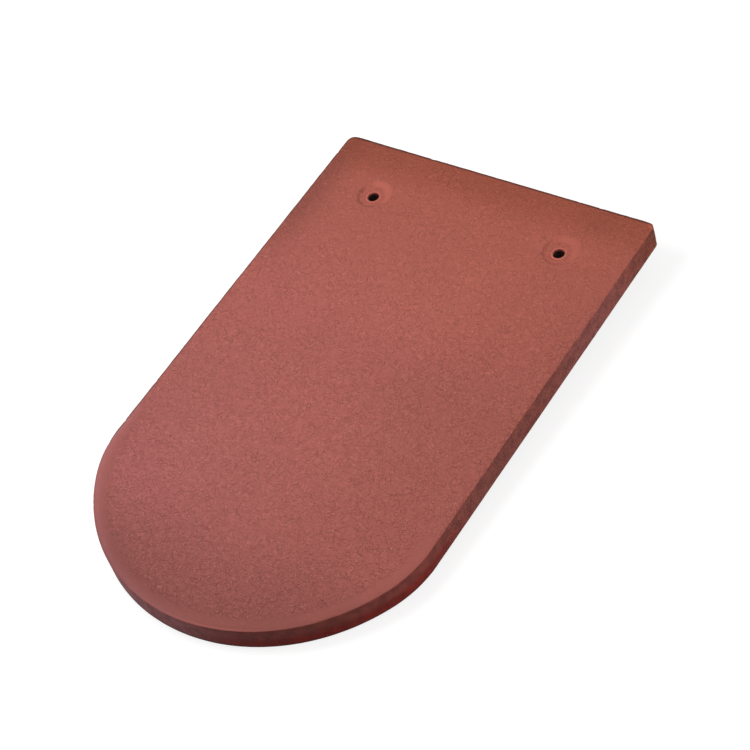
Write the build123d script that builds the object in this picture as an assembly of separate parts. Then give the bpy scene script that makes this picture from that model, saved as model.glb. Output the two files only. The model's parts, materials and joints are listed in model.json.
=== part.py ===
from build123d import *
from math import asin, atan2, degrees, hypot, sqrt
import os

# A plain clay roof tile with a round nose, pressed and fired as one piece.
# It is modelled flat: the tip of the nose is at the origin, the length runs along +Y to the head,
# and the underside lies on z = 0, with the two hanging nibs below it.
# At the end it is laid down as it rests on a level floor, on its nibs and the tip of its nose.

# Body of the tile
tile_width = 170
tile_length = 270
tile_thickness = 12
# The round nose reaches from the tip to where it meets the two straight sides
nose_length = 64
# Roundings seen from above, where the nose meets a side and at the corners of the head
shoulder_radius = 57
head_corner_radius = 2
# Small rounding of the outer edges of both faces
arris_radius = 0.35

# The face rolls down a little along the rim of the nose
roll_width = 3
roll_drop = 0.35

# Two nail holes, each at the bottom of a shallow dish
nail_hole_radius = 2.75
nail_hole_spacing = 103
nail_hole_from_head = 31.5
dish_radius = 9
dish_depth = 1
dish_wall_width = 2.5
dish_edge_radius = 1

# Two nibs that hang the tile on its batten
nib_spacing = 92
nib_width = 24
nib_depth = 10
nib_tip_length = 7
nib_back_slope_length = 5
nib_stop_from_head = 18
nib_edge_radius = 1.5
nib_root_radius = 1.5

# Edges are picked by their place to within this distance, and as level below this slope
place_tolerance = 0.01
level_slope = 0.5

half_width = tile_width / 2
nose_radius = (half_width**2 + nose_length**2) / (2 * nose_length)
dish_floor_radius = dish_radius - dish_wall_width
nib_stop_y = tile_length - nib_stop_from_head
nib_back_y = nib_stop_y + nib_tip_length + nib_back_slope_length


def plan_outline():
    """The tile seen from above: a round nose, two straight sides and a straight head."""
    nose = ThreePointArc((-half_width, nose_length), (0, 0), (half_width, nose_length))
    head_right = (half_width, tile_length)
    head_left = (-half_width, tile_length)
    sides = Polyline((half_width, nose_length), head_right, head_left, (-half_width, nose_length))
    outline = make_face([nose, sides])
    outline = fillet(outline.vertices().group_by(Axis.Y)[-1], head_corner_radius)
    shoulders = outline.vertices().filter_by(lambda corner: abs(corner.Y - nose_length) < place_tolerance)
    return fillet(shoulders, shoulder_radius)


def rolled_blank():
    """A slab that is flat on top and rolls down along a rim of the nose's own radius.

    The roll's section is an arc that leaves the face level and has dropped by roll_drop at the
    rim. It is turned about the centre of the nose, and runs on straight beside both sides.
    """
    overlap = 1
    roll_radius = (roll_width**2 + roll_drop**2) / (2 * roll_drop)
    roll_start = (nose_radius - roll_width, tile_thickness)
    end_drop = roll_radius - sqrt(roll_radius**2 - (roll_width + overlap) ** 2)
    roll_end = (nose_radius + overlap, tile_thickness - end_drop)
    roll = TangentArc(roll_start, roll_end, tangent=(1, 0))
    rest = Polyline(roll_end, (nose_radius + overlap, 0), (0, 0), (0, tile_thickness), roll_start)
    half_section = Plane.XZ * make_face([roll, rest])
    centre = Pos(0, nose_radius, 0)
    end = centre * revolve(half_section, Axis.Z)
    right = centre * extrude(half_section, tile_length, dir=(0, 1, 0))
    return end + right + mirror(right, Plane.YZ)


def nail_hole(x):
    """One nail hole through the tile, with its dish in the face."""
    upward = (Align.CENTER, Align.CENTER, Align.MIN)
    hole = Cylinder(nail_hole_radius, tile_thickness, align=upward)
    dish = Cone(dish_floor_radius, dish_radius, dish_depth, align=upward)
    hole += Pos(0, 0, tile_thickness - dish_depth) * dish
    return Pos(x, tile_length - nail_hole_from_head, 0) * hole


def nib(x):
    """One hanging nib: square to the underside where it stops at the batten, sloped behind."""
    section = Polyline(
        (nib_stop_y, arris_radius),
        (nib_stop_y, -nib_depth),
        (nib_stop_y + nib_tip_length, -nib_depth),
        (nib_back_y, 0),
        (nib_back_y, arris_radius),
        close=True,
    )
    block = extrude(Plane.YZ * make_face(section), nib_width / 2, both=True)
    tip = block.faces().sort_by(Axis.Z)[0]
    return Pos(x, 0, 0) * fillet(tip.edges(), nib_edge_radius)


def rest_angle():
    """How far the flat tile turns about X to lie on its nibs and the tip of its nose.

    Both touch the floor with a rounded edge, so the floor is the tangent to two circles.
    """
    across = nib_stop_y + nib_edge_radius - arris_radius
    down = nib_depth - nib_edge_radius + arris_radius
    slope = atan2(down, across)
    return degrees(slope + asin((nib_edge_radius - arris_radius) / hypot(across, down)))


def is_dish_edge(edge):
    """True for the circles where a dish's wall meets the face and its own floor."""
    if edge.geom_type != GeomType.CIRCLE:
        return False
    near_face = edge.center().Z > tile_thickness - dish_depth - place_tolerance
    return near_face and edge.radius > dish_floor_radius - place_tolerance


def is_nib_root(edge):
    """True for the edges where a nib meets the underside."""
    middle = edge.center()
    beside_nib = nib_stop_y - place_tolerance < middle.Y < nib_back_y + place_tolerance
    return abs(middle.Z) < place_tolerance and beside_nib


def is_level(edge):
    """True for the edges round both faces, which run level or nearly so."""
    return abs(edge.tangent_at(0.5).Z) < level_slope


tile = extrude(plan_outline(), tile_thickness) & rolled_blank()
tile = fillet(tile.edges().filter_by(is_level), arris_radius)
for side in (-1, 1):
    tile -= nail_hole(side * nail_hole_spacing / 2)
    tile += nib(side * nib_spacing / 2)
tile = fillet(tile.edges().filter_by(is_dish_edge), dish_edge_radius)
tile = fillet(tile.edges().filter_by(is_nib_root), nib_root_radius)

angle = rest_angle()
tile = Rot(angle, 0, 0) * tile
box = tile.bounding_box()
tile = Pos(-box.center().X, -box.center().Y, -box.min.Z) * tile

os.makedirs("parts", exist_ok=True)
export_step(tile, "parts/roof_tile.step")
print("nose radius", nose_radius, "rest angle", angle)
print("box", tile.bounding_box(), "solids", len(tile.solids()), "volume", tile.volume)
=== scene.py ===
# %% [markdown]
# # A clay roof tile with a round nose
#
# The tile is one piece of red clay: pressed flat in a mould, pricked with two nail holes and fired.
# The CAD model already holds its real size and its plain form. This lesson gives it the surface
# that a fired tile has: a rolled rim round the nose, a sandy face, dished nail holes, a slightly
# uneven edge and rough, scuffed sides.
#
# The whole tile is made again as one closed surface, worked out with numpy from a few sizes. That
# is better here than sculpting, because every point still lies where the CAD model says.

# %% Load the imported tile
import json
import math
import bpy
import bmesh
import numpy as np
from mathutils import Matrix, Vector


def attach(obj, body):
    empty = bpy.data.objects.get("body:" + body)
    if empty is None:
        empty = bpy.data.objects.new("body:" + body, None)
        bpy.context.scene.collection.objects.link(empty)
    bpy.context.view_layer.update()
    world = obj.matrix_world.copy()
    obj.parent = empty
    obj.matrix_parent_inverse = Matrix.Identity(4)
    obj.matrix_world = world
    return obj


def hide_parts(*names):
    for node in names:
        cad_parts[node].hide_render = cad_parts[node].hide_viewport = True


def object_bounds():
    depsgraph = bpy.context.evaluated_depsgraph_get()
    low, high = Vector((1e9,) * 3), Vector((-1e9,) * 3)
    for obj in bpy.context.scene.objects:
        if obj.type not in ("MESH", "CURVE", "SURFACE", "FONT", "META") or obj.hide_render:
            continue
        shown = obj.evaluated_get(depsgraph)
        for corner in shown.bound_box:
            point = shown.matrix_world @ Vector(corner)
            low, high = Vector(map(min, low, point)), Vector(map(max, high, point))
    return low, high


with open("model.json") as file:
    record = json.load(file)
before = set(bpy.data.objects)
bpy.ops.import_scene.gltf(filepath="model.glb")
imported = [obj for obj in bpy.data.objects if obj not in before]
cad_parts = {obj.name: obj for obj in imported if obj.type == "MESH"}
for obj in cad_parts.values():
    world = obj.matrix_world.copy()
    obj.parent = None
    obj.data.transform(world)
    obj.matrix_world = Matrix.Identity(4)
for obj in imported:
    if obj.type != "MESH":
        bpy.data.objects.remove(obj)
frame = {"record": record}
cad_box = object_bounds()
mounts = {mount["name"]: mount for mount in frame["record"]["mounts"]}

# %% [markdown]
# ## Sizes
#
# Sizes are in millimetres here, in the flat tile's own places: the tip of the nose is at the
# origin, the length runs along +Y to the head, and the underside is z = 0. What can be read from
# the CAD model is read from it: the width, and the nail holes with their spacing and radius. The
# corners of the head are a little rounder here than in the CAD model, as if worn.

# %% Sizes of the tile
MM = 0.001
left_hole = mounts["nail_hole_left"]
right_hole = mounts["nail_hole_right"]
tile_width = (cad_box[1].x - cad_box[0].x) / MM
tile_length = 270
tile_thickness = 12
nose_length = 64
shoulder_radius = 57
head_corner_radius = 3.5
arris_radius = 0.35
hole_radius = right_hole["dims"]["r_mm"]
hole_spacing = (right_hole["pos_m"][0] - left_hole["pos_m"][0]) / MM
hole_from_head = 31.5
hole_y = tile_length - hole_from_head

half_width = tile_width / 2
nose_radius = (half_width**2 + nose_length**2) / (2 * nose_length)
print("width", round(tile_width, 2), "nose radius", round(nose_radius, 2))
print("hole spacing", round(hole_spacing, 2))

# %% [markdown]
# ## From the flat tile to the tile at rest
#
# The tile lies on its two nibs and on the tip of its nose, so its face leans a little. The axis of
# a nail hole stands square to the face, which gives the lean, and the hole's place gives the shift.

# %% Lay the flat tile down as it rests
lean = math.atan2(-right_hole["axis"][1], right_hole["axis"][2])
hole_middle_height = right_hole["dims"]["length_mm"] / 2
turned_y = hole_y * math.cos(lean) - hole_middle_height * math.sin(lean)
turned_z = hole_y * math.sin(lean) + hole_middle_height * math.cos(lean)
shift_y = right_hole["pos_m"][1] / MM - turned_y
shift_z = right_hole["pos_m"][2] / MM - turned_z


def lay_down(points):
    """Flat places in millimetres become places at rest in metres: a turn about X, then a shift."""
    x, y, z = points[..., 0], points[..., 1], points[..., 2]
    rest_y = y * math.cos(lean) - z * math.sin(lean) + shift_y
    rest_z = y * math.sin(lean) + z * math.cos(lean) + shift_z
    return np.stack([x, rest_y, rest_z], axis=-1) * MM


print("the face leans", round(math.degrees(lean), 2), "degrees")

# %% [markdown]
# ## The outline
#
# Seen from above, half of the outline is five stretches: the round nose, a shoulder that eases it
# into the side, the straight side, the corner of the head and the straight head. On each stretch
# a point is a centre plus a radius times the outward direction, and a straight stretch has radius
# zero and a moving centre. One function of the distance along the outline then gives them all.

# %% The outline as one function
nose_turn = math.asin((half_width - shoulder_radius) / (nose_radius - shoulder_radius))
shoulder_y = nose_radius - (nose_radius - shoulder_radius) * math.cos(nose_turn)
nose_end = nose_radius * nose_turn
shoulder_end = nose_end + shoulder_radius * (math.pi / 2 - nose_turn)
side_end = shoulder_end + tile_length - head_corner_radius - shoulder_y
corner_end = side_end + head_corner_radius * math.pi / 2
half_outline = corner_end + half_width - head_corner_radius


def outline(distance):
    """Points of the outline, and the outward directions there, at a distance along it.

    The distance starts at the tip of the nose and runs up the right side to the middle of the
    head, and it is negative up the left side, which is the mirror image. np.select picks the
    stretch that each distance lies on: point = centre + radius * outward direction.
    """
    along = (distance + half_outline) % (2 * half_outline) - half_outline
    mirror = np.where(along < 0, -1.0, 1.0)
    along = np.abs(along)
    stretches = [along < nose_end, along < shoulder_end, along < side_end, along < corner_end]
    turns = [
        along / nose_radius,
        nose_turn + (along - nose_end) / shoulder_radius,
        np.full_like(along, math.pi / 2),
        math.pi / 2 + (along - side_end) / head_corner_radius,
    ]
    turn = np.select(stretches, turns, math.pi)
    radius = np.select(stretches, [nose_radius, shoulder_radius, 0, head_corner_radius], 0)
    corner_x = half_width - head_corner_radius
    shoulder_x = half_width - shoulder_radius
    head_x = corner_x - (along - corner_end)
    centre_x = np.select(stretches, [0, shoulder_x, half_width, corner_x], head_x)
    side_y = shoulder_y + along - shoulder_end
    centre_ys = [nose_radius, shoulder_y, side_y, tile_length - head_corner_radius]
    centre_y = np.select(stretches, centre_ys, tile_length)
    outward = np.stack([np.sin(turn), -np.cos(turn)], axis=-1)
    point = np.stack([centre_x, centre_y], axis=-1) + radius[..., None] * outward
    flip = np.stack([mirror, np.ones_like(mirror)], axis=-1)
    return point * flip, outward * flip


def distance_inside(x, y):
    """How far a point of the face lies inside the outline: the distance to the nearest stretch."""
    x = np.abs(x)
    turn = np.arctan2(x, nose_radius - y)
    to_nose = nose_radius - np.hypot(x, y - nose_radius)
    to_shoulder = shoulder_radius - np.hypot(x - half_width + shoulder_radius, y - shoulder_y)
    in_nose = (turn < nose_turn) & (y < nose_radius)
    to_rim = np.select([in_nose, y < shoulder_y], [to_nose, to_shoulder], half_width - x)
    return np.minimum(to_rim, tile_length - y)


print("outline", round(2 * half_outline, 1), "mm long")

# %% [markdown]
# ## The shape of the face
#
# The face is a height over every place of the flat tile. Three things lower it: the soft roll along
# the rim, widest at the nose and narrow along the sides; a dish round each nail hole; and a slight
# sag between low places, because a pressed face is never quite flat. An S-curve, 3t*t - 2t*t*t,
# makes each change of height smooth, as wet clay does.

# %% Heights of the face
roll_drop = 0.35
roll_width_nose = 3.4
roll_width_side = 1.6
roll_fade = 110


def s_curve(low, high, value):
    """Rises smoothly from 0 where the value is low to 1 where it is high."""
    t = np.clip((value - low) / (high - low), 0, 1)
    return t * t * (3 - 2 * t)


def rim_roll(x, y):
    """How far the face has rolled down: a parabola over the roll's width, deepest at the rim."""
    toward_head = s_curve(shoulder_y, shoulder_y + roll_fade, y)
    width = roll_width_nose + (roll_width_side - roll_width_nose) * toward_head
    drop = roll_drop * (1 - 0.5 * toward_head)
    return drop * np.clip(1 - distance_inside(x, y) / width, 0, 1) ** 2


# The punch stood a little askew: its wall is steep on the left towards the nose and wide on the
# right towards the head, and it went deeper on the left. Each dish has the radius of a rim circle
# and of a floor circle, and the places of both from the hole.
left_dish = {
    "x": -hole_spacing / 2,
    "rim": 9.0,
    "rim_at": (0.2, 1.3),
    "floor": 5.8,
    "floor_at": (-0.8, 0.1),
    "depth": 1.0,
}
right_dish = {
    "x": hole_spacing / 2,
    "rim": 9.4,
    "rim_at": (0.3, 1.6),
    "floor": 6.0,
    "floor_at": (-0.7, 0.4),
    "depth": 0.75,
}
dishes = [left_dish, right_dish]
lip_rise = 0.35
lip_width = 2.0


def from_circle(x, y, dish, name):
    """Distance of a place outside one of a dish's circles; negative inside it."""
    aside, along = dish[name + "_at"]
    return np.hypot(x - dish["x"] - aside, y - hole_y - along) - dish[name]


def way_up_wall(x, y, dish):
    """The share of the way up a dish's wall: 0 on its floor and 1 at its rim.

    It is the distance outside the floor circle, over the sum of that distance and the distance
    inside the rim circle.
    """
    past_floor = np.clip(from_circle(x, y, dish, "floor"), 0, None)
    below_rim = np.clip(-from_circle(x, y, dish, "rim"), 0, None)
    return np.where(below_rim > 0, past_floor / (past_floor + below_rim + 1e-9), 1)


def dish_drop(x, y):
    """How far the dishes lower the face: an S-curve of the way up the wall, times the depth.

    The floor rises again at the lip of the hole, where the pin pulled the clay up.
    """
    drop = np.zeros_like(x)
    for dish in dishes:
        bowl = dish["depth"] * (1 - s_curve(0, 1, way_up_wall(x, y, dish)))
        from_hole = np.hypot(x - dish["x"], y - hole_y)
        lip = lip_rise * (1 - s_curve(hole_radius, hole_radius + lip_width, from_hole))
        drop += np.where(bowl > 0, bowl - lip, 0)
    return drop


def face_height(x, y):
    """Height of the face over the flat tile's underside."""
    return tile_thickness - rim_roll(x, y) - dish_drop(x, y)


print("dish depths", [dish["depth"] for dish in dishes])

# %% [markdown]
# ## Keeping points and faces
#
# Every part of the surface is a grid of points. The points of all grids go into one long list, and
# a grid of their numbers says which four make each quad. Where two grids meet, the second one uses
# the first one's numbers, so the surface is closed with no doubles to merge.

# %% Lists of points and faces
point_chunks = []
quad_chunks = []
triangle_chunks = []


def keep_points(points):
    """Adds a grid of points to the list and gives back the grid of their numbers."""
    first = sum(len(chunk) for chunk in point_chunks)
    point_chunks.append(points.reshape(-1, 3))
    return first + np.arange(points.size // 3).reshape(points.shape[:-1])


def skin(numbers, closed=False, keep=None):
    """Makes a quad between each four neighbours of a grid.

    A closed grid also joins its last column to its first. keep says which cells get a quad.
    """
    if closed:
        numbers = np.concatenate([numbers, numbers[:, :1]], axis=1)
    corners = [numbers[:-1, :-1], numbers[:-1, 1:], numbers[1:, 1:], numbers[1:, :-1]]
    quads = np.stack(corners, axis=-1)
    quad_chunks.append(quads.reshape(-1, 4) if keep is None else quads[keep])


def join_half(fine, coarse):
    """Joins a closed row to one with half as many points, by three triangles for each of these."""
    next_fine = np.roll(fine, -1)
    after_next = np.roll(fine, -2)
    next_coarse = np.roll(coarse, -1)
    triangle_chunks.append(np.stack([fine[::2], next_fine[::2], coarse], axis=-1))
    triangle_chunks.append(np.stack([next_fine[::2], next_coarse, coarse], axis=-1))
    triangle_chunks.append(np.stack([next_fine[::2], after_next[::2], next_coarse], axis=-1))


def border(numbers):
    """The numbers round the edge of a grid, once round: along, up, back and down."""
    edges = [numbers[0, :-1], numbers[:-1, -1], numbers[-1, :0:-1], numbers[:0:-1, 0]]
    return np.concatenate(edges)


def fill_inside(loop, across, up):
    """A grid of points inside a closed loop, by a Coons patch.

    The loop's points are shared out as the grid's four edges. An inner point is the blend of the
    two edges beside it, plus the blend of the two edges above and below, less the blend of the four
    corners, so that the grid meets every edge exactly.
    """
    closed = np.concatenate([loop, loop[:1]])
    bottom = closed[: across + 1]
    right = closed[across : across + up + 1]
    top = closed[across + up : 2 * across + up + 1][::-1]
    left = closed[2 * across + up :][::-1]
    u = np.linspace(0, 1, across + 1)[None, :, None]
    v = np.linspace(0, 1, up + 1)[:, None, None]
    beside = (1 - u) * left[:, None] + u * right[:, None]
    ends = (1 - v) * bottom[None] + v * top[None]
    low_corners = (1 - u) * bottom[0] + u * bottom[-1]
    high_corners = (1 - u) * top[0] + u * top[-1]
    return beside + ends - ((1 - v) * low_corners + v * high_corners)


def with_border(numbers, loop):
    """Gives a grid the numbers of a loop as its edge, in the order that border() reads them."""
    up, across = numbers.shape[0] - 1, numbers.shape[1] - 1
    closed = np.concatenate([loop, loop[:1]])
    numbers = numbers.copy()
    numbers[0] = closed[: across + 1]
    numbers[:, -1] = closed[across : across + up + 1]
    numbers[-1] = closed[across + up : 2 * across + up + 1][::-1]
    numbers[:, 0] = closed[2 * across + up :][::-1]
    return numbers


def with_height(plan, height):
    """Puts heights on plan points."""
    return np.concatenate([plan, np.broadcast_to(height, plan.shape[:-1])[..., None]], axis=-1)


# %% [markdown]
# ## The face, as one grid
#
# The face is a four-sided grid bent to the tile's plan: its lower edge lies along the middle of the
# nose, its sides run up the shoulders and sides, and its upper edge lies along the head. The cells
# are about one millimetre, fine enough for the relief of the clay. The grid stops just under two
# millimetres inside the outline, where the rim begins, and leaves a square window round each nail
# hole. A flat grid cut to shape would be quicker, but its squares would meet the round nose with
# steps, while a bent one follows it.

# %% The face grid
cells_across = 172
cells_up = 272
nose_share = 52
rim_inset = 1.8
window_cells = 14
corner_middle = side_end + head_corner_radius * math.pi / 4


def loop_distances(across, up):
    """Distances along the outline for a grid's edges: along the nose, up the right side, back along
    the head and down the left side."""
    whole = 2 * half_outline
    edges = [
        np.linspace(-nose_share, nose_share, across + 1)[:-1],
        np.linspace(nose_share, corner_middle, up + 1)[:-1],
        np.linspace(corner_middle, whole - corner_middle, across + 1)[:-1],
        np.linspace(whole - corner_middle, whole - nose_share, up + 1)[:-1],
    ]
    return np.concatenate(edges)


edge_distance = loop_distances(cells_across, cells_up)
edge_point, edge_outward = outline(edge_distance)
face_plan = fill_inside(edge_point - rim_inset * edge_outward, cells_across, cells_up)
face_heights = face_height(face_plan[..., 0], face_plan[..., 1])
face_numbers = keep_points(with_height(face_plan, face_heights))


def window_round(plan, x, y, half_across, half_up, even):
    """First row and column, and last, of a window of cells round the place nearest to x, y."""
    gap = np.hypot(plan[..., 0] - x, plan[..., 1] - y)
    row, column = np.unravel_index(np.argmin(gap), gap.shape)
    if even:
        row, column = row + row % 2, column + column % 2
    return row - half_up, column - half_across, row + half_up, column + half_across


def cut_windows(shape, windows):
    """True for each cell of a grid that lies in none of the windows."""
    keep = np.ones((shape[0] - 1, shape[1] - 1), dtype=bool)
    for low_row, low_column, high_row, high_column in windows:
        keep[low_row:high_row, low_column:high_column] = False
    return keep


hole_windows = []
for dish in dishes:
    window = window_round(face_plan, dish["x"], hole_y, window_cells, window_cells, even=True)
    hole_windows.append(window)
skin(face_numbers, keep=cut_windows(face_plan.shape, hole_windows))
print("face grid", face_plan.shape[:2], "hole windows", hole_windows)

# %% [markdown]
# ## The nail holes
#
# Each window is closed by rings that change from the window's square edge to the round dish and
# then shrink to the hole. The rings lie on the face's own height, so the dish comes by itself. The
# last rings turn over the lip and go down the hole, as a nail would.

# %% Rings from a window down a nail hole
outer_ring_radii = np.linspace(11.6, 5.5, 15)
inner_ring_radii = np.linspace(5.0, hole_radius + 0.45, 5)
dish_ring_radii = np.concatenate([outer_ring_radii, inner_ring_radii])
lip_turns = np.radians([30, 60, 90])
lip_radius = 0.4
bore_heights = np.linspace(9.6, 0.5, 10)
hole_bottom_loops = []


def ring_round(x, directions, radius, height):
    """A ring of points round a hole, one in each direction."""
    plan = np.array([x, hole_y]) + radius * directions
    return with_height(plan, height)


for dish, (low_row, low_column, high_row, high_column) in zip(dishes, hole_windows):
    window = face_numbers[low_row : high_row + 1, low_column : high_column + 1]
    window_plan = face_plan[low_row : high_row + 1, low_column : high_column + 1]
    window_edge = np.stack([border(window_plan[..., 0]), border(window_plan[..., 1])], axis=-1)
    offset = window_edge - np.array([dish["x"], hole_y])
    reach = np.hypot(offset[:, 0], offset[:, 1])
    directions = offset / reach[:, None]
    rings = []
    for radius in dish_ring_radii:
        plan = np.array([dish["x"], hole_y]) + radius * directions
        rings.append(with_height(plan, face_height(plan[:, 0], plan[:, 1])))
    lip_height = float(np.mean(rings[-1][:, 2]))
    for turn in lip_turns:
        radius = hole_radius + lip_radius * (1 - math.sin(turn))
        height = lip_height - lip_radius * (1 - math.cos(turn))
        rings.append(ring_round(dish["x"], directions, radius, height))
    for height in bore_heights:
        rings.append(ring_round(dish["x"], directions, hole_radius, height))
    ring_numbers = keep_points(np.stack(rings))
    skin(np.concatenate([border(window)[None], ring_numbers]), closed=True)
    hole_bottom_loops.append((ring_numbers[-1], directions))
print("rings round each hole", len(rings), "points in a ring", len(directions))

# %% [markdown]
# ## The rim and the sides
#
# One profile is carried round the whole outline. It starts where the face grid ends, follows the
# rolled face outwards, turns over the arris (the sharp upper edge), goes down the side and turns
# under. A profile point is an inset from the outline and a height. The top of the side follows the
# face, so it dips where the rim rolls down.

# %% Carry the profile round the outline
band_insets = np.array([1.5, 1.2, 0.9, 0.6, 0.35])
arris_turns = np.radians([22, 45, 68, 90])
side_rows = 11
side_shares = np.linspace(0, 1, side_rows + 2)[1:-1]
under_turns = np.radians([0, 45, 90])
almost_at_edge = 0.01

rim_rows = []
for inset in band_insets:
    plan = edge_point - inset * edge_outward
    rim_rows.append(with_height(plan, face_height(plan[:, 0], plan[:, 1])))
arris_plan = edge_point - almost_at_edge * edge_outward
arris_top = face_height(arris_plan[:, 0], arris_plan[:, 1])
for turn in arris_turns:
    plan = edge_point - arris_radius * (1 - math.sin(turn)) * edge_outward
    rim_rows.append(with_height(plan, arris_top - arris_radius * (1 - math.cos(turn))))
for share in side_shares:
    height = (arris_top - arris_radius) * (1 - share) + arris_radius * share
    rim_rows.append(with_height(edge_point, height))
for turn in under_turns:
    plan = edge_point - arris_radius * (1 - math.cos(turn)) * edge_outward
    rim_rows.append(with_height(plan, arris_radius * (1 - math.sin(turn))))
rim_numbers = keep_points(np.stack(rim_rows))
skin(np.concatenate([border(face_numbers)[None], rim_numbers]), closed=True)
print("rim", len(rim_rows), "rows of", len(edge_distance), "points")

# %% [markdown]
# ## The underside
#
# Nobody looks closely at the underside of a roof tile, so its grid has cells twice as long. A strip
# of triangles joins the rim's last row to a row with half as many points. The grid leaves windows
# for the nail holes and for two nibs, which come next.

# %% The underside grid
under_across = cells_across // 2
under_up = cells_up // 2
under_inset = 1.0
under_loop = keep_points(with_height((edge_point - under_inset * edge_outward)[::2], 0.0))
join_half(rim_numbers[-1], under_loop)
under_plan = fill_inside((edge_point - rim_inset * edge_outward)[::2], under_across, under_up)
under_numbers = keep_points(with_height(under_plan, 0.0))
skin(np.stack([under_loop, border(under_numbers)]), closed=True)
# The windows stand two rows nearer to the nose than the face's, to leave room for the nibs
under_shift = np.array([2, 0, 2, 0])
under_hole_windows = [tuple(np.array(window) // 2 - under_shift) for window in hole_windows]

# %% [markdown]
# ## The nibs
#
# The nibs are two small feet near the head that hook over the batten, a thin rail of the roof. A
# cube pushed into the underside would be quicker, but its faces would only cut through the tile's.
# Here each nib is let down from a window in the underside, loop by loop, so the surface stays
# closed and the root is rounded.

# %% The nibs, let down from the underside
nib_spacing = 92
nib_width = 24
nib_depth = 10
nib_stop_y = tile_length - 18
nib_tip_y = nib_stop_y + 7
nib_back_y = nib_tip_y + 5
nib_root_radius = 1.5
nib_edge_radius = 1.5
nib_corner_radius = 1.0
nib_window_half = 8
nib_cells_across = 2 * nib_window_half
nib_cells_up = under_up - under_hole_windows[0][2]


def rounded_loop(low, high, corner, across, up):
    """Points round a rectangle with round corners, with as many on each edge as a grid has cells.

    Each point starts on the plain rectangle. Near a corner it is pulled to the circle there: the
    point is clamped to the smaller rectangle of corner centres, and set one radius away from it.
    """
    x = np.linspace(low[0], high[0], across + 1)
    y = np.linspace(low[1], high[1], up + 1)
    grid_x, grid_y = np.meshgrid(x, y)
    plain = np.stack([border(grid_x), border(grid_y)], axis=-1)
    inner = np.clip(plain, np.array(low) + corner, np.array(high) - corner)
    away = plain - inner
    length = np.hypot(away[:, 0], away[:, 1])[:, None]
    return inner + corner * away / np.maximum(length, 1e-9)


def nib_rows(x):
    """Loops down a nib: a flared root, straight walls with a sloped back, and a rounded tip.

    Each loop is a rounded rectangle, wider than the nib by its flare. The root and the tip are
    quarter circles: flare = radius * (1 - sine), depth = radius * (1 - cosine), and the tip's the
    other way round.
    """
    root, edge = nib_root_radius, nib_edge_radius
    loops = []
    for turn in np.radians([0, 30, 60, 90]):
        flare = root * (1 - math.sin(turn))
        loops.append((flare, root * (1 - math.cos(turn))))
    loops += [(0, depth) for depth in np.linspace(root + 1.6, nib_depth - edge, 5)]
    for turn in np.radians([30, 60, 90]):
        loops.append((-edge * (1 - math.cos(turn)), nib_depth - edge * (1 - math.sin(turn))))
    rows = []
    for flare, depth in loops:
        back_y = nib_back_y + (nib_tip_y - nib_back_y) * depth / nib_depth
        low = (x - nib_width / 2 - flare, nib_stop_y - flare)
        high = (x + nib_width / 2 + flare, back_y + flare)
        corner = nib_corner_radius + 0.5 * max(flare, 0)
        plan = rounded_loop(low, high, corner, nib_cells_across, nib_cells_up)
        rows.append(with_height(plan, -depth))
    return rows


nib_windows = []
for nib_x in (-nib_spacing / 2, nib_spacing / 2):
    nearest = window_round(under_plan, nib_x, nib_stop_y, nib_window_half, 0, even=False)
    low_column, high_column = nearest[1], nearest[3]
    low_row, high_row = under_up - nib_cells_up, under_up
    nib_windows.append((low_row, low_column, high_row, high_column))
    window = under_numbers[low_row : high_row + 1, low_column : high_column + 1]
    rows = nib_rows(nib_x)
    row_numbers = keep_points(np.stack(rows))
    skin(np.concatenate([border(window)[None], row_numbers]), closed=True)
    tip = fill_inside(rows[-1][:, :2], nib_cells_across, nib_cells_up)
    tip_numbers = keep_points(with_height(tip, -nib_depth))
    skin(with_border(tip_numbers, row_numbers[-1]))

# %% Close the underside round the nail holes
first_gap = 0.5
outer_radii = (5, 8)
for dish, (low_row, low_column, high_row, high_column), (bore_loop, directions) in zip(
    dishes, under_hole_windows, hole_bottom_loops
):
    window = under_numbers[low_row : high_row + 1, low_column : high_column + 1]
    half_directions = directions[::2]
    first = keep_points(ring_round(dish["x"], half_directions, hole_radius + first_gap, 0.0))
    join_half(bore_loop, first)
    outer = [ring_round(dish["x"], half_directions, radius, 0.0) for radius in outer_radii]
    outer_numbers = keep_points(np.stack(outer))
    skin(np.concatenate([first[None], outer_numbers, border(window)[None]]), closed=True)
skin(under_numbers, keep=cut_windows(under_plan.shape, under_hole_windows + nib_windows))
print("underside grid", under_plan.shape[:2], "nib windows", nib_windows)

# %% [markdown]
# ## One mesh, with no loose points
#
# The windows left a few points that no face uses. They are dropped by keeping the numbers that
# occur in the faces and giving them new ones in order.

# %% Gather the tile's points and faces
points = np.concatenate(point_chunks)
quads = np.concatenate(quad_chunks)
triangles = np.concatenate(triangle_chunks)
all_numbers = np.concatenate([quads.ravel(), triangles.ravel()])
used, renumbered = np.unique(all_numbers, return_inverse=True)
quads = renumbered[: quads.size].reshape(-1, 4)
triangles = renumbered[quads.size :].reshape(-1, 3)
flat_points = points[used]
print("points", len(flat_points), "triangles", 2 * len(quads) + len(triangles))

# %% Make the mesh, and turn its faces outwards
tile_mesh = bpy.data.meshes.new("roof_tile_surface")
tile_mesh.from_pydata(flat_points, [], quads.tolist() + triangles.tolist())
shell = bmesh.new()
shell.from_mesh(tile_mesh)
bmesh.ops.recalc_face_normals(shell, faces=shell.faces)
open_edges = sum(1 for edge in shell.edges if not edge.is_manifold)
shell.to_mesh(tile_mesh)
shell.free()
outward_3d = np.zeros(3 * len(flat_points), dtype=np.float32)
tile_mesh.vertex_normals.foreach_get("vector", outward_3d)
outward_3d = outward_3d.reshape(-1, 3).astype(float)
print("open edges", open_edges, "valid", not tile_mesh.validate())

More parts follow.
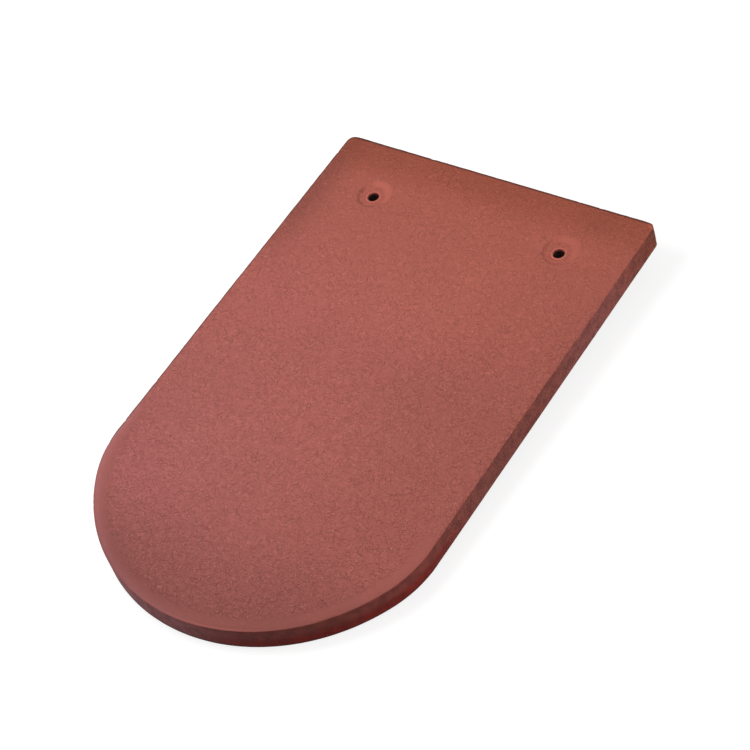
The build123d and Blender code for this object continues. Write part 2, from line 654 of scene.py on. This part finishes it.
# %% [markdown]
# ## The relief of the clay
#
# Clay is never a perfect plane: the face sags a little between thicker places, the arris wears and
# chips, and the cut sides are rough. Each of these is a random field at its own grain size. Every
# point moves inwards along its own normal by the sum, so the tile never grows past its real size.
# Last, the head's left corner, which a knock took off, is drawn in as a whole.
#
# Blender's Displace modifier could do this with a texture, but then the fields could not be mixed
# by place, such as rough on the sides and smooth along the nose.

# %% Random lumps at any grain size
lattice_size = 64


def lumps(places, grain, seed):
    """Smooth random values from 0 to 1, with lumps of about the grain's size.

    A seeded table of random numbers stands on a lattice, one grain apart. A place's value is the
    blend of the eight numbers round it, with S-curve shares, so that it has no creases.
    """
    table = np.random.default_rng(seed).random((lattice_size,) * 3)
    scaled = places / grain + 1000
    cell = np.floor(scaled).astype(int)
    share = scaled - cell
    share = share * share * (3 - 2 * share)
    value = np.zeros(len(places))
    for corner in np.ndindex(2, 2, 2):
        weight = np.prod(np.where(np.array(corner) == 1, share, 1 - share), axis=1)
        value += weight * table[tuple(((cell + corner) % lattice_size).T)]
    return value


# %% Where each kind of relief lies
x, y, z = flat_points.T
inside = distance_inside(x, y)
face_share = s_curve(0.5, 0.9, outward_3d[:, 2])
sideways = np.hypot(outward_3d[:, 0], outward_3d[:, 1])
side_share = s_curve(0.5, 0.9, sideways) * s_curve(2.0, 1.0, inside)
near_arris = np.exp(-((inside / 0.9) ** 2) - ((z - tile_thickness + 0.3) / 0.9) ** 2)
near_head = s_curve(150, 250, y)
nose_margin = s_curve(shoulder_y + 30, shoulder_y - 10, y) * s_curve(9, 3.5, inside)
print("points on the face", int((face_share > 0.5).sum()))
print("points on the sides", int((side_share > 0.5).sum()))

# %% Move every point inwards
sag = 0.14 * lumps(flat_points, 52, seed=11) + 0.04 * lumps(flat_points, 17, seed=12)
face_grain = 0.05 * lumps(flat_points, 4.2, seed=13) + 0.04 * lumps(flat_points, 2.4, seed=14)
side_grain = 0.10 * lumps(flat_points, 6.5, seed=15)
side_grain += 0.16 * lumps(flat_points, 2.4, seed=16) * (0.25 + 0.75 * near_head)
worn = 0.06 * lumps(flat_points, 9, seed=17) + 0.05 * lumps(flat_points, 3.2, seed=18)
chips = 0.25 * s_curve(0.80, 0.95, lumps(flat_points, 2.8, seed=19))
inwards = face_share * (sag + face_grain * (1 - 0.6 * nose_margin))
inwards += side_share * side_grain + near_arris * (worn + chips)
relief_points = flat_points - inwards[:, None] * outward_3d

# The head's left corner is knocked off a little more than the right one
from_left_corner = np.hypot(x + half_width, y - tile_length)
from_right_corner = np.hypot(x - half_width, y - tile_length)
knock_depth = 0.7
knock_reach = 3.0
knock_direction = (0.77, -0.64)
knock = knock_depth * np.exp(-((from_left_corner / knock_reach) ** 2))
relief_points[:, 0] += knock_direction[0] * knock
relief_points[:, 1] += knock_direction[1] * knock
tile_mesh.vertices.foreach_set("co", lay_down(relief_points).ravel())
tile_mesh.update()
print("deepest relief", round(float(inwards.max()), 3), "mm")

# %% [markdown]
# ## Telling the material where it is
#
# The clay looks different along the nose margin, on the sides, in the dishes and near the head,
# and some of these shares paint light, sheen and shade into its colour.
# Each of these shares is kept as a number on every point, and the material reads it as an
# attribute. A mask painted by hand would do the same, but a formula of the place is exact, and one
# value changes it.

# %% Shares of colour over the face
# Painted sheen: pinker and paler at the nose and on the left, where the lamp's sheen is painted in,
# and more orange towards the head, where it fades
toward_head = np.clip((y - 60) / 200, 0, 1) ** 1.2 * 0.9
toward_right = 0.4 * np.clip((x + 57) / 114, 0, 1)
orange_share = toward_head + (1 - toward_head) * toward_right
# Darker at the head and along the left edge beside it
smoke_share = np.maximum(
    s_curve(32, 0, tile_length - y),
    s_curve(16, 0, x + half_width) * s_curve(150, 250, y),
)
# The tone is a factor on the colour, mostly painted light and shade: paler left of the middle, a
# painted pool of the key lamp's light, and towards the head; darker at the tip of the nose, where
# the painted light falls off, along the left edge near the head and beside both corners of the head
painted_light_pool = np.exp(-(((x + 15) / 60) ** 2) - ((y - 125) / 75) ** 2)
pale_head = s_curve(130, 190, y) * (0.07 + 0.06 * s_curve(-30, 40, x)) + 0.04 * s_curve(220, 250, y)
painted_nose_shade = s_curve(62, 4, y)
dark_left_edge = s_curve(22, 4, x + half_width) * s_curve(170, 225, y)
dark_corners = np.exp(-(((np.abs(x) - 60) / 14) ** 2)) * s_curve(244, 260, y)
tone = (1 + 0.10 * painted_light_pool) * (1 + pale_head) * (1 - 0.24 * painted_nose_shade)
tone *= (1 - 0.20 * dark_left_edge) * (1 - 0.08 * dark_corners)
print("tone from", round(float(tone.min()), 2), "to", round(float(tone.max()), 2))

# %% Shares on the nose's side
# It is greyer and paler on the left, painted light from the lamp on that side, and a darker deep
# red at its foot on the right, painted shade. A grey patch on the long sides near the head joins
# the grey share
round_nose = np.degrees(np.arctan2(x, nose_radius - y))
on_nose = s_curve(shoulder_y + 40, shoulder_y - 5, y)
grey_patch = 0.3 * np.exp(-(((y - 212) / 30) ** 2)) * (1 - on_nose)
grey_side = s_curve(24, -6, round_nose) * on_nose + grey_patch
red_foot = (0.3 + 0.7 * s_curve(8, 3, z)) * s_curve(0, 24, round_nose) * on_nose
print("points on the nose's side", int((side_share * on_nose > 0.5).sum()))

# %% Shares in the holes and dishes
# Inside a hole it is painted dark, as shade, and its lip is paler. The wide wall of each dish,
# towards the right corner of the head, is smooth and has a painted highlight, as it faces the key
# lamp, and the steep wall opposite has painted shade
wide_wall_at = (0.64, 0.77)
from_holes = np.min([np.hypot(x - dish["x"], y - hole_y) for dish in dishes], axis=0)
in_hole = s_curve(hole_radius + 0.5, hole_radius, from_holes) * s_curve(11.0, 10.0, z)
hole_lip = np.exp(-(((from_holes - hole_radius - 0.6) / 0.5) ** 2)) * face_share
lit_smooth_wall = np.zeros(len(x))
steep_wall = np.zeros(len(x))
for dish in dishes:
    wall = 4 * way_up_wall(x, y, dish) * (1 - way_up_wall(x, y, dish)) * face_share
    aside, along = x - dish["x"], y - hole_y
    toward = aside * wide_wall_at[0] + along * wide_wall_at[1]
    toward /= np.maximum(np.hypot(aside, along), 1e-9)
    lit_smooth_wall += wall**0.5 * s_curve(-0.1, 0.6, toward) * dish["depth"]
    steep_wall += wall * s_curve(0.1, -0.6, toward) * dish["depth"]
print("points in the holes", int((in_hole > 0.5).sum()))

# %% Shares along the rim
# The rim has a painted highlight where the roll turns into the nose's front
nose_rim_highlight = np.exp(-(((inside - 0.8) / 0.6) ** 2)) * face_share * on_nose
nose_rim_highlight *= s_curve(-35, -5, round_nose) * s_curve(45, 15, round_nose)

# The roll of the rim has a painted sheen on the left of the nose, paler and bluer, with a darker
# strip beside it
left_of_nose = s_curve(20, -20, round_nose) * s_curve(100, 75, y)
dusty_roll = np.exp(-(((inside - 1.6) / 1.2) ** 2)) * face_share * left_of_nose
dark_strip = np.exp(-(((inside - 6.2) / 2.4) ** 2)) * face_share * left_of_nose
tone *= 1 - 0.10 * dark_strip

# A dark line of painted shade runs along the head, the left edge, the foot of the nose and the
# right corner
dark_line = np.maximum(s_curve(1.9, 0.9, tile_length - y), 0.9 * s_curve(1.3, 0.5, x + half_width))
dark_line = np.maximum(dark_line, side_share * on_nose * s_curve(1.6, 0.4, z))
dark_line = np.maximum(dark_line, 0.9 * side_share * s_curve(2.9, 1.7, from_right_corner))

# Knocks rub the clay pale at the right corner. Along the foot of the sides near the head it is pale
# in patches, partly rubbed and partly painted light thrown up by the floor
corner_rub = 0.7 * np.exp(-(((from_right_corner - 3.0) / 1.2) ** 2)) * face_share
foot_rub_and_floor_light = side_share * np.exp(-(((z - 1.4) / 0.9) ** 2)) * near_head
foot_rub_and_floor_light *= s_curve(0.5, 0.75, lumps(flat_points, 2.2, seed=23))
print("points on the dark line", int((dark_line > 0.5).sum()))


# %% Keep the shares on the points
def keep_share(name, values):
    """Stores one number for each point of the tile."""
    attribute = tile_mesh.attributes.new(name, "FLOAT", "POINT")
    attribute.data.foreach_set("value", np.ascontiguousarray(values, dtype=np.float32))


# The pale places: the paler lips of the holes, a knocked corner, painted highlights on the lit dish
# walls and the nose's rim, and painted floor light at the foot of the sides
rubs_and_highlights = [hole_lip, 0.5 * lit_smooth_wall, 0.7 * nose_rim_highlight, corner_rub, foot_rub_and_floor_light]

shares = {
    "side_share": side_share,
    "orange_share": orange_share,
    "smoke_share": smoke_share,
    "nose_margin": nose_margin,
    "tone": tone,
    "dusty_roll": dusty_roll,
    "grey_side": side_share * grey_side,
    "red_foot": side_share * red_foot,
    "in_hole": in_hole,
    "dark_line": dark_line,
    "steep_wall": steep_wall,
    "pale_rub": np.max(rubs_and_highlights, axis=0),
    "brown_head": s_curve(26, 2, tile_length - y),
    "near_head": near_head,
}
for share_name, values in shares.items():
    keep_share(share_name, values)
print("shares", list(shares))

# %% The tile as an object
tile_mesh.polygons.foreach_set("use_smooth", np.ones(len(tile_mesh.polygons), dtype=bool))
tile = bpy.data.objects.new("roof_tile_clay", tile_mesh)
bpy.context.scene.collection.objects.link(tile)
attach(tile, "root")
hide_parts("roof_tile")
print("the clay tile rides on root")

# %% [markdown]
# ## Fired clay
#
# The clay is brick red with a matt, faintly sandy face. It is pinker and paler at the nose, where a
# sheen is painted in, and more orange towards the head, by the shares kept on the points. Other
# shares paint light and shade into the colour. Over that its colour drifts slowly, is mottled at
# the size of a
# fingertip, and has fine specks of sand: noise at several sizes on Object coordinates. A photograph
# would be quicker, but it could not be looked at from another side.
#
# The grain is a pattern of wrinkles about one millimetre wide, too fine for the mesh. It is noise
# whose places are pushed about by noise, which draws it out like worm tracks. The same noise gives
# the bump and the colour, with painted highlights on the ridges and painted shade in the pits. It
# fades on the smooth margin of the nose, where the mould pressed the clay.

# %% Helpers for building a material from nodes
def add_node(tree, kind, **settings):
    """Adds a node and sets its properties and its sockets; sockets are given by name."""
    node = tree.nodes.new(kind)
    for name, value in settings.items():
        if hasattr(node, name):
            setattr(node, name, value)
        else:
            node.inputs[name.replace("_", " ")].default_value = value
    return node


def mottle(tree, coordinates, lump, detail=2.0, roughness=0.5, distortion=0.0):
    """Noise with lumps of about the given size in millimetres, as a value from 0 to 1."""
    noise = add_node(tree, "ShaderNodeTexNoise", Scale=1 / (lump * MM), Detail=detail)
    noise.inputs["Roughness"].default_value = roughness
    noise.inputs["Distortion"].default_value = distortion
    tree.links.new(coordinates, noise.inputs["Vector"])
    return noise.outputs["Fac"]


def arithmetic(tree, operation, first, second):
    """A Math node on two values, each a socket or a number."""
    node = add_node(tree, "ShaderNodeMath", operation=operation)
    for socket, value in zip(node.inputs, (first, second)):
        if isinstance(value, bpy.types.NodeSocket):
            tree.links.new(value, socket)
        else:
            socket.default_value = value
    return node.outputs["Value"]


def spread(tree, value, low, high, to_low, to_high):
    """A Map Range node: low to high becomes to_low to to_high, clamped and smooth."""
    node = add_node(tree, "ShaderNodeMapRange", interpolation_type="SMOOTHSTEP")
    tree.links.new(value, node.inputs["Value"])
    limits = {"From Min": low, "From Max": high, "To Min": to_low, "To Max": to_high}
    for name, number in limits.items():
        node.inputs[name].default_value = number
    return node.outputs["Result"]


def blend_colour(tree, share, first, second):
    """A Mix node between two colours, each a socket or three numbers."""
    node = add_node(tree, "ShaderNodeMix", data_type="RGBA")
    tree.links.new(share, node.inputs["Factor"])
    for socket, value in zip(node.inputs[6:8], (first, second)):
        if isinstance(value, bpy.types.NodeSocket):
            tree.links.new(value, socket)
        else:
            socket.default_value = (*value, 1.0)
    return node.outputs[2]


def share_of(tree, name):
    """Reads one of the numbers kept on the points."""
    return add_node(tree, "ShaderNodeAttribute", attribute_name=name).outputs["Fac"]


def times(tree, first, second):
    """The product of two values, each a socket or a number."""
    return arithmetic(tree, "MULTIPLY", first, second)


def scaled_colour(tree, colour, factor):
    """A colour times a factor that comes from a socket."""
    node = add_node(tree, "ShaderNodeVectorMath", operation="SCALE")
    tree.links.new(colour, node.inputs[0])
    tree.links.new(factor, node.inputs["Scale"])
    return node.outputs[0]


def tinted(tree, colour, share, low, high):
    """Multiplies a colour by a factor that goes from low to high as the share goes from 0 to 1."""
    return scaled_colour(tree, colour, spread(tree, share, 0, 1, low, high))


print("helpers ready")

# %% The fired clay material
clay = bpy.data.materials.new("fired_brick_clay")
clay.use_nodes = True
tree = clay.node_tree
tree.nodes.clear()
shader = add_node(tree, "ShaderNodeBsdfPrincipled")
output = add_node(tree, "ShaderNodeOutputMaterial")
tree.links.new(shader.outputs["BSDF"], output.inputs["Surface"])
coordinates = add_node(tree, "ShaderNodeTexCoord").outputs["Object"]

# The colours of the clay, from one part of the tile to another; some hold painted sheen or shade
sheen_pink_red = (0.378, 0.110, 0.099)
orange_red = (0.382, 0.098, 0.066)
brown_red = (0.37, 0.088, 0.052)
sheen_pale_red = (0.40, 0.155, 0.155)
grey_red = (0.60, 0.20, 0.21)
shade_deep_red = (0.32, 0.028, 0.019)
pale_sand = (0.60, 0.28, 0.22)
dark_sand = (0.19, 0.035, 0.028)
sheen_cover = 0.55
pale_sand_cover = 0.36
dark_sand_cover = 0.25

# Noise at each size, from the slow drift over the tile down to the grains of sand
drift = mottle(tree, coordinates, 60, detail=1.0)
patches = mottle(tree, coordinates, 8, detail=3.0, roughness=0.6)
blotches = mottle(tree, coordinates, 5)
wrinkles = mottle(tree, coordinates, 1.5, detail=1.0, distortion=1.0)
tracks = mottle(tree, coordinates, 3.2, detail=1.0, distortion=0.8)
sand = mottle(tree, coordinates, 0.7, detail=0.0)

# A track runs where its noise is close to the middle value
from_middle = arithmetic(tree, "ABSOLUTE", arithmetic(tree, "SUBTRACT", tracks, 0.5), 0.0)
track_line = spread(tree, from_middle, 0.005, 0.045, 1, 0)
print("noise at several sizes,", len(tree.nodes), "nodes")

# %% The clay's colour from part to part, with painted sheen, light and shade
# Pinker where the lamp's sheen is painted in, more orange where it fades
colour = blend_colour(tree, share_of(tree, "orange_share"), sheen_pink_red, orange_red)
colour = blend_colour(tree, share_of(tree, "brown_head"), colour, brown_red)
# Painted sheen on the roll of the rim, left of the nose
roll_sheen_amount = times(tree, share_of(tree, "dusty_roll"), sheen_cover)
colour = blend_colour(tree, roll_sheen_amount, colour, sheen_pale_red)
# Painted light on the left of the nose's side, and painted shade at its foot on the right
colour = blend_colour(tree, share_of(tree, "grey_side"), colour, grey_red)
colour = blend_colour(tree, share_of(tree, "red_foot"), colour, shade_deep_red)
# The tone factor holds painted light and shade
colour = scaled_colour(tree, colour, share_of(tree, "tone"))
colour = tinted(tree, colour, drift, 0.94, 1.06)
colour = tinted(tree, colour, patches, 0.92, 1.08)
# Darker at the head and along the left edge beside it, and a little on the nose's margin
for share_name, factor in (("smoke_share", 0.85), ("nose_margin", 0.95)):
    colour = tinted(tree, colour, share_of(tree, share_name), 1.0, factor)
side_blotches = times(tree, share_of(tree, "side_share"), spread(tree, blotches, 0.35, 0.65, 0, 1))
colour = tinted(tree, colour, side_blotches, 1.0, 0.72)
print("plain colour,", len(tree.nodes), "nodes")

# %% The grain: how rough the clay is, and the wrinkles and sand on it
rough = spread(tree, share_of(tree, "nose_margin"), 0, 1, 1, 0.2)
rough = times(tree, rough, spread(tree, share_of(tree, "pale_rub"), 0, 0.5, 1, 0.1))
rough = times(tree, rough, spread(tree, patches, 0.38, 0.58, 0.6, 1))
rough = times(tree, rough, spread(tree, share_of(tree, "near_head"), 0, 1, 1, 0.75))
# Painted shade in the pits of the wrinkles, painted highlights on their ridges and along the tracks
pit_shade = spread(tree, wrinkles, 0.50, 0.36, 0, 1)
ridge_highlight = spread(tree, wrinkles, 0.52, 0.66, 0, 1)
for pattern, factor in ((pit_shade, 0.93), (ridge_highlight, 1.10), (track_line, 1.13)):
    colour = tinted(tree, colour, times(tree, rough, pattern), 1.0, factor)
light_specks = times(tree, rough, spread(tree, sand, 0.66, 0.78, 0, pale_sand_cover))
colour = blend_colour(tree, light_specks, colour, pale_sand)
dark_specks = times(tree, rough, spread(tree, sand, 0.34, 0.24, 0, dark_sand_cover))
colour = blend_colour(tree, dark_specks, colour, dark_sand)
print("grain,", len(tree.nodes), "nodes")

# %% Rubbed places, painted highlights and painted shade
place_factors = {"pale_rub": 1.28, "steep_wall": 0.82, "dark_line": 0.38, "in_hole": 0.06}
for share_name, factor in place_factors.items():
    colour = tinted(tree, colour, share_of(tree, share_name), 1.0, factor)
tree.links.new(colour, shader.inputs["Base Color"])
print("places,", len(tree.nodes), "nodes")

# %% Gloss and bump
shader.inputs["Roughness"].default_value = 0.7
shader.inputs["Specular IOR Level"].default_value = 0.2

track_height = 0.25
grain_height = arithmetic(tree, "ADD", wrinkles, times(tree, track_line, track_height))
grain_height = times(tree, grain_height, rough)
bump = add_node(tree, "ShaderNodeBump", Strength=1.0, Distance=MM)
tree.links.new(grain_height, bump.inputs["Height"])
tree.links.new(bump.outputs["Normal"], shader.inputs["Normal"])
tile_mesh.materials.append(clay)
print("clay material with", len(tree.nodes), "nodes")

# %% [markdown]
# ## Floor and lamps
#
# The tile lies on a pale floor. To the camera the floor glows almost white and the world is white,
# by Light Path, while the light that they throw back on the tile is weaker. So the background is
# white without more light on the clay, and the floor still shows the tile's soft shadow.
#
# A soft lamp hangs close over the left side of the tile, so the face is bright and the two sides
# that the camera sees lie in shade. A weaker one far on the right fills that shade. A single sun
# would be simpler, but its shadows are hard, and the shallow dishes would look cut.

# %% Floor
def white_to_camera(tree, plain, white):
    """Mixes two shaders: the white one for rays that the camera, a gloss or a glass sends out."""
    path = add_node(tree, "ShaderNodeLightPath")
    seen = arithmetic(tree, "MAXIMUM", path.outputs["Is Camera Ray"], path.outputs["Is Glossy Ray"])
    seen = arithmetic(tree, "MAXIMUM", seen, path.outputs["Is Transmission Ray"])
    mix = add_node(tree, "ShaderNodeMixShader")
    tree.links.new(seen, mix.inputs[0])
    tree.links.new(plain, mix.inputs[1])
    tree.links.new(white, mix.inputs[2])
    return mix.outputs[0]


floor_half = 3.0
floor_corners = floor_half * np.array([(-1, -1, 0), (1, -1, 0), (1, 1, 0), (-1, 1, 0)])
floor_mesh = bpy.data.meshes.new("studio_floor_sheet")
floor_mesh.from_pydata(floor_corners, [], [(0, 1, 2, 3)])
floor = bpy.data.objects.new("studio_floor", floor_mesh)
bpy.context.scene.collection.objects.link(floor)
paper = bpy.data.materials.new("white_studio_paper")
paper.use_nodes = True
tree = paper.node_tree
tree.nodes.clear()
matt_paper = add_node(tree, "ShaderNodeBsdfDiffuse", Color=(0.15, 0.15, 0.15, 1.0))
paper_glow = add_node(tree, "ShaderNodeEmission", Color=(1.0, 1.0, 1.0, 1.0), Strength=0.8)
shaded_paper = add_node(tree, "ShaderNodeBsdfDiffuse", Color=(0.35, 0.35, 0.35, 1.0))
bright_paper = add_node(tree, "ShaderNodeAddShader")
tree.links.new(paper_glow.outputs[0], bright_paper.inputs[0])
tree.links.new(shaded_paper.outputs[0], bright_paper.inputs[1])
output = add_node(tree, "ShaderNodeOutputMaterial")
surface = white_to_camera(tree, matt_paper.outputs[0], bright_paper.outputs[0])
tree.links.new(surface, output.inputs["Surface"])
floor_mesh.materials.append(paper)
print("floor", 2 * floor_half, "m wide")

# %% World
world = bpy.data.worlds.new("studio_air")
bpy.context.scene.world = world
world.use_nodes = True
tree = world.node_tree
tree.nodes.clear()
soft_air = add_node(tree, "ShaderNodeBackground", Color=(1.0, 1.0, 1.0, 1.0), Strength=0.3)
white_air = add_node(tree, "ShaderNodeBackground", Color=(1.0, 1.0, 1.0, 1.0), Strength=1.0)
output = add_node(tree, "ShaderNodeOutputWorld")
surface = white_to_camera(tree, soft_air.outputs[0], white_air.outputs[0])
tree.links.new(surface, output.inputs["Surface"])
print("world set")

# %% Lamps
def soft_lamp(name, place, size, power, colour):
    """A square area lamp at a place in metres, facing the middle of the tile."""
    lamp = bpy.data.lights.new(name, "AREA")
    lamp.shape = "SQUARE"
    lamp.size = size
    lamp.energy = power
    lamp.color = colour
    stand = bpy.data.objects.new(name, lamp)
    bpy.context.scene.collection.objects.link(stand)
    stand.visible_camera = False
    facing = Vector(place).normalized().to_track_quat("Z", "Y")
    stand.matrix_world = Matrix.Translation(place) @ facing.to_matrix().to_4x4()
    return stand


key = soft_lamp("key_lamp", (-0.17, -0.06, 0.42), 0.24, 1.335, (1.0, 1.0, 1.0))
fill = soft_lamp("fill_lamp", (1.2, 0.35, 0.7), 0.8, 5.1, (1.0, 0.96, 0.93))
print("key", key.data.energy, "W, fill", fill.data.energy, "W")

# %% [markdown]
# ## The camera
#
# The camera looks down on the tile from the front right and is rolled, so the tile lies aslant in
# the picture. Its angles, roll, distance and lens were found by matching the corners and the nose
# of the tile with the picture's. Placing it by eye would be quicker, but a long lens hides errors
# of a degree or two, and they show as a tile of the wrong length.

# %% Camera
camera_azimuth, camera_elevation, camera_roll = np.radians([46.096, 46.133, 17.401])
camera_aim = Vector((6.420, 13.474, 11.906)) * MM
camera_distance = 1070.25 * MM
camera_data = bpy.data.cameras.new("photo_camera")
camera_data.sensor_width = 36
camera_data.lens = 114.879
camera_data.clip_start = 0.05
camera_data.clip_end = 30
back = Vector(
    (
        math.sin(camera_azimuth) * math.cos(camera_elevation),
        -math.cos(camera_azimuth) * math.cos(camera_elevation),
        math.sin(camera_elevation),
    )
)
level_right = Vector((0, 0, 1)).cross(back).normalized()
level_up = back.cross(level_right)
camera_right = math.cos(camera_roll) * level_right - math.sin(camera_roll) * level_up
camera_up = math.sin(camera_roll) * level_right + math.cos(camera_roll) * level_up
turn = Matrix((camera_right, camera_up, back)).transposed()
camera = bpy.data.objects.new("photo_camera", camera_data)
bpy.context.scene.collection.objects.link(camera)
camera.matrix_world = Matrix.Translation(camera_aim + camera_distance * back) @ turn.to_4x4()
bpy.context.scene.camera = camera
bpy.context.scene.view_settings.view_transform = "Standard"
print("camera at", [round(value, 4) for value in camera.matrix_world.translation])
